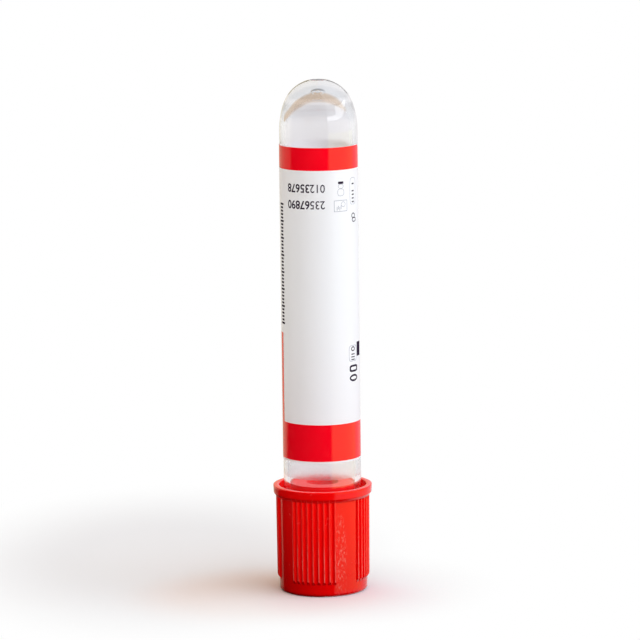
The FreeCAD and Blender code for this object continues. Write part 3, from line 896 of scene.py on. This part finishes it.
def studio_world():
    """White to the camera.  Reflections see a dark room with a pale wall on the left, a pale side and a
    tall window on the right, and a pale backdrop behind.  Rays through the clear wall see the backdrop,
    greyer higher up and low down, and a tan wall high up on the left.  Dull surfaces get soft light
    from the front right and from above."""
    world = bpy.data.worlds.new("studio")
    bpy.context.scene.world = world
    world.use_nodes = True
    tree = world.node_tree
    tree.nodes.clear()
    path = add(tree, "LightPath").outputs
    direction = add(tree, "TexCoord").outputs["Generated"]
    parts = add(tree, "SeparateXYZ", {0: direction}).outputs
    across, up = parts["X"], parts["Z"]
    azimuth = math_node(tree, "ARCTAN2", across, product(tree, parts["Y"], -1.0))

    def line(value, slope, offset):
        """The value times the slope, plus the offset."""
        return math_node(tree, "MULTIPLY_ADD", value, slope, offset)

    def further(low, high, *levels):
        """How far the azimuth is past the first of two angles in degrees, on its way to the second."""
        return smoothstep(tree, azimuth, math.radians(low), math.radians(high), *levels)

    def higher(low, high, *levels):
        """The same for the height of the direction, which is the sine of its elevation."""
        return smoothstep(tree, up, low, high, *levels)

    def before(edge, value, ease):
        """1 where the value is below the edge, and 0 above it, eased."""
        return smoothstep(tree, math_node(tree, "SUBTRACT", edge, value), -ease, ease)

    dark, wall, backdrop = (0.01, 0.01, 0.01), (0.85, 0.76, 0.56), (0.9, 0.87, 0.87)
    side, low_side, lowest_side = (1.05, 1.08, 1.12), (1.35, 1.35, 0.6), (1.3, 1.1, 1.15)
    daylight = (4.2, 4.35, 4.5)
    # reflections: the wall's edge leans, and the window's near part is lower and its far end leans out
    wall_edge = math_node(tree, "MAXIMUM", math_node(tree, "MINIMUM", line(up, 9.1, -0.49), -1.55), -2.3)
    on_wall = product(tree, before(wall_edge, azimuth, 0.07), higher(-0.24, -0.19, 0.3, 1.5))
    window = product(
        tree, before(further(57, 61, 0.29, 0.45), up, 0.012), higher(0.175, 0.195),
        before(line(up, 3.2, 0.79), azimuth, 0.04), further(26.5, 30))
    right = mixed(tree, higher(-0.3, -0.2), lowest_side, low_side)
    right = mixed(tree, higher(-0.11, -0.06), right, side)
    glossy = mixed(tree, on_wall, dark, wall)
    glossy = mixed(tree, further(25, 33), glossy, right)
    glossy = mixed(tree, higher(-0.32, -0.45), glossy, dark)
    glossy = mixed(tree, window, glossy, daylight)
    glossy = mixed(tree, further(105, 125), glossy, backdrop)
    # through the clear wall
    high_left = product(
        tree, math_node(tree, "MAXIMUM", line(across, -1.1, up), product(tree, up, 1.25)),
        higher(-0.05, 0.12), smoothstep(tree, across, -0.85, -0.65))
    clear = mixed(tree, higher(0.04, 0.22), (0.97, 0.975, 0.985), (0.85, 0.865, 0.89))
    clear = mixed(tree, higher(-0.35, -0.5), clear, (0.5, 0.52, 0.56))
    clear = mixed(tree, smoothstep(tree, high_left, 0.66, 0.84), clear, (0.68, 0.54, 0.42))
    thrown = math_node(tree, "GREATER_THAN", path["Glossy Depth"], 1.5)
    glossy = mixed(tree, thrown, glossy, mixed(tree, 0.25, clear, dark))
    # soft light from the front right and from above, each as a squared cosine round its direction
    turn, lift = math.radians(48), math.radians(15)
    front = vector_node(tree, "DOT_PRODUCT", direction, (
        math.cos(lift) * math.sin(turn), -math.cos(lift) * math.cos(turn), math.sin(lift)))
    light = (0.0, 0.0, 0.0)
    for toward, strength in ((front, (2.26, 2.54, 2.94)), (up, (1.3, 1.04, 0.7))):
        lobe = math_node(tree, "POWER", math_node(tree, "MAXIMUM", toward, 0.0), 2.0)
        light = vector_node(tree, "MULTIPLY_ADD", strength, lobe, light)
    for flag, value in (
            ("Is Glossy Ray", glossy), ("Is Transmission Ray", clear), ("Is Camera Ray", CLEAR)):
        light = mixed(tree, path[flag], light, value)
    background = add(tree, "Background", {"Color": light, "Strength": 1.0})
    add(tree, "OutputWorld", {"Surface": background.outputs[0]})


# ---- operators ---------------------------------------------------------------------------------------
def sizes(context):
    """The sizes of the tube, the stopper, the cap, the label and the stage."""
    return [getattr(context.scene, name) for name in groups]


class COLLECTION_TUBE_OT_add_tube(bpy.types.Operator):
    """Add the clear tube, with the dried coat on its bore"""
    bl_idname = "collection_tube.add_tube"
    bl_label = "Add Tube"
    bl_options = {"REGISTER", "UNDO"}

    def execute(self, context):
        tube, stopper, cap = sizes(context)[:3]
        mouth = mouth_height(cap, stopper)
        # the coat starts just above the plug, and thins out towards the round end
        coat_low = mouth + stopper.plug_length + 0.00015
        thin_from, thin_to, coat_high = (mouth + share * tube.total for share in (0.84, 0.92, 0.965))
        in_bore = bore_radius(tube) + 0.0001

        def zone_of(body):
            radius, height = body.T
            return ((radius < in_bore) & (height > coat_low) & (height < coat_high)).astype(int)

        finishes = [clear_polyester(tube.clear_colour), dried_coat(tube.coat_colour, thin_from, thin_to)]
        piece = turned("clear_tube", tube_profile(tube, mouth), TUBE_COLUMNS, finishes, zone_of)
        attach(piece, "tube")
        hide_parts("tube")
        return {"FINISHED"}


class COLLECTION_TUBE_OT_add_stopper(bpy.types.Operator):
    """Add the rubber stopper"""
    bl_idname = "collection_tube.add_stopper"
    bl_label = "Add Stopper"
    bl_options = {"REGISTER", "UNDO"}

    def execute(self, context):
        tube, stopper, cap = sizes(context)[:3]
        dusty_and_lit_above = mouth_height(cap, stopper) + stopper.plug_length - 0.0002
        profile = stopper_profile(tube, cap, stopper)
        finish = moulded_rubber(stopper.rubber_colour, dusty_and_lit_above)
        piece = turned("rubber_stopper", profile, STOPPER_COLUMNS, [finish])
        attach(piece, "stopper")
        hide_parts("stopper")
        return {"FINISHED"}


class COLLECTION_TUBE_OT_add_cap(bpy.types.Operator):
    """Add the ribbed safety cap"""
    bl_idname = "collection_tube.add_cap"
    bl_label = "Add Cap"
    bl_options = {"REGISTER", "UNDO"}

    def execute(self, context):
        tube, stopper, cap = sizes(context)[:3]
        finish = scuffed_red_plastic(cap.plastic_colour, 0.6 * cap.height)
        piece = cap_object("safety_cap", cap, stopper, tube, finish)
        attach(piece, "cap")
        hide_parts("cap")
        return {"FINISHED"}


class COLLECTION_TUBE_OT_add_label(bpy.types.Operator):
    """Add the label and its small print"""
    bl_idname = "collection_tube.add_label"
    bl_label = "Add Label"
    bl_options = {"REGISTER", "UNDO"}

    def execute(self, context):
        tube, stopper, cap, label = sizes(context)[:4]
        mouth = mouth_height(cap, stopper)
        piece = label_object("printed_label", tube, label, cap, mouth, [
            satin_film("white_film", label.film_colour, rough=0.13, shine=0.2, glow=0.35),
            satin_film("red_print", label.band_colour, rough=0.1, shine=0.5, glow=0.12,
                       passing=(1.0, 0.8, 0.8)),
            satin_film("glued_side", (0.99, 0.99, 0.99), rough=0.5, shine=0.1, glow=0.02)])
        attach(piece, "tube")
        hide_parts("label")
        radius = tube.outer_diameter / 2 + label.thickness + PRINT_GAP
        small = print_object("small_print", radius, [
            satin_film(name, tint, rough=0.6, passing=(0.8, 0.8, 0.8))
            for name, tint in (("dark_ink", label.ink_colour), ("pale_ink", label.pale_ink_colour))])
        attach(small, "tube")
        return {"FINISHED"}


class COLLECTION_TUBE_OT_add_stage(bpy.types.Operator):
    """Add the floor, the light and the camera"""
    bl_idname = "collection_tube.add_stage"
    bl_label = "Add Stage"
    bl_options = {"REGISTER", "UNDO"}

    def execute(self, context):
        scene, stage = context.scene, sizes(context)[-1]
        half = 3.0                # half of the floor's side
        corners = [(-half, -half, 0), (half, -half, 0), (half, half, 0), (-half, half, 0)]
        mesh = new_mesh("floor", corners, [(0, 1, 2, 3)], [floor_finish(stage.floor_colour)])
        floor = linked("floor", mesh)
        floor.visible_glossy = False

        key_distance = 0.8        # from the origin to the key light
        key = bpy.data.lights.new("key_light", "AREA")
        key.shape = "RECTANGLE"
        key.size, key.size_y = 0.55, 0.45
        key.energy = 0.5
        key.color = (0.64, 0.8, 1.0)
        lamp = linked("key_light", key)
        lamp.matrix_world = (
            Matrix.Rotation(stage.key_azimuth, 4, "Z")
            @ Matrix.Rotation(math.pi / 2 - stage.key_elevation, 4, "X")
            @ Matrix.Translation((0, 0, key_distance)))
        lamp.visible_camera = lamp.visible_glossy = lamp.visible_transmission = False

        camera = bpy.data.cameras.new("camera")
        camera.lens, camera.sensor_width = 225.0, 36.0
        camera.clip_start, camera.clip_end = 0.05, 20.0
        eye = linked("camera", camera)
        eye.matrix_world = (
            Matrix.Translation((-0.0001, -stage.camera_distance, stage.camera_height))
            @ Matrix.Rotation(math.pi / 2 - stage.camera_pitch, 4, "X")
            @ Matrix.Rotation(stage.camera_roll, 4, "Z"))
        scene.camera = eye
        studio_world()
        scene.view_settings.view_transform = "Standard"
        return {"FINISHED"}


class COLLECTION_TUBE_PT_panel(bpy.types.Panel):
    """Sizes, colours and steps of the collection tube"""
    bl_label = "Collection Tube"
    bl_idname = "COLLECTION_TUBE_PT_panel"
    bl_space_type = "VIEW_3D"
    bl_region_type = "UI"
    bl_category = "Collection Tube"

    def draw(self, context):
        for operator in operators:
            self.layout.operator(operator.bl_idname)
        for name in groups:
            box = self.layout.box()
            group = getattr(context.scene, name)
            for key in group.__annotations__:
                box.prop(group, key)


groups = {
    "collection_tube_tube": TubeSizes,
    "collection_tube_stopper": StopperSizes,
    "collection_tube_cap": CapSizes,
    "collection_tube_label": LabelSizes,
    "collection_tube_stage": StageSizes,
}
operators = (
    COLLECTION_TUBE_OT_add_tube,
    COLLECTION_TUBE_OT_add_stopper,
    COLLECTION_TUBE_OT_add_cap,
    COLLECTION_TUBE_OT_add_label,
    COLLECTION_TUBE_OT_add_stage,
)


def register():
    for item in (*groups.values(), *operators, COLLECTION_TUBE_PT_panel):
        bpy.utils.register_class(item)
    for name, group in groups.items():
        setattr(bpy.types.Scene, name, PointerProperty(type=group))


def unregister():
    for name in groups:
        delattr(bpy.types.Scene, name)
    for item in (COLLECTION_TUBE_PT_panel, *reversed(operators), *reversed(groups.values())):
        bpy.utils.unregister_class(item)


def main():
    register()
    bpy.ops.collection_tube.add_tube()
    bpy.ops.collection_tube.add_stopper()
    bpy.ops.collection_tube.add_cap()
    bpy.ops.collection_tube.add_label()
    bpy.ops.collection_tube.add_stage()


if __name__ == "__main__":
    main()
